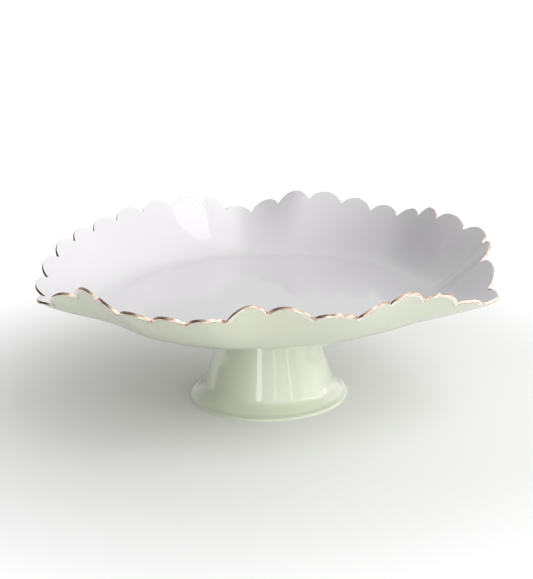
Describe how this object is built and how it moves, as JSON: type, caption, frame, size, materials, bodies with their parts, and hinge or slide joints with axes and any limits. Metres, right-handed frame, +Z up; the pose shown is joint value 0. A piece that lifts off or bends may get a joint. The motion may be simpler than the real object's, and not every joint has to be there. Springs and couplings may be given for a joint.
{
  "type": "scalloped cake stand",
  "caption": "Enamelled pedestal cake stand: a shallow dish with a wavy, scalloped, gilt-edged wall, bolted to a hollow flared foot",
  "frame": {"origin": "centre of the round foot, on the table the stand rests on", "axes": "+Z up the pedestal's axis; -Y is the side the picture was taken from and +X is its right"},
  "size_m": [0.3179, 0.3165, 0.1195],
  "materials": {
    "green_enamel": "glossy sage green enamel",
    "pale_enamel": "glossy pale lavender grey enamel",
    "rose_gilt": "worn polished rose gold",
    "gasket_rubber": "matte grey",
    "plain_steel": "bright zinc plated"
  },
  "bodies": {
    "root": {"dish_body": "green_enamel", "dish_lining": "pale_enamel", "gilt_rim": "rose_gilt", "pedestal_shell": "green_enamel", "seat_gasket": "gasket_rubber", "stud_flange": "plain_steel", "threaded_stud": "plain_steel", "clamp_washer": "plain_steel", "spring_washer": "plain_steel", "hex_nut": "plain_steel"}
  },
  "joints": []
}
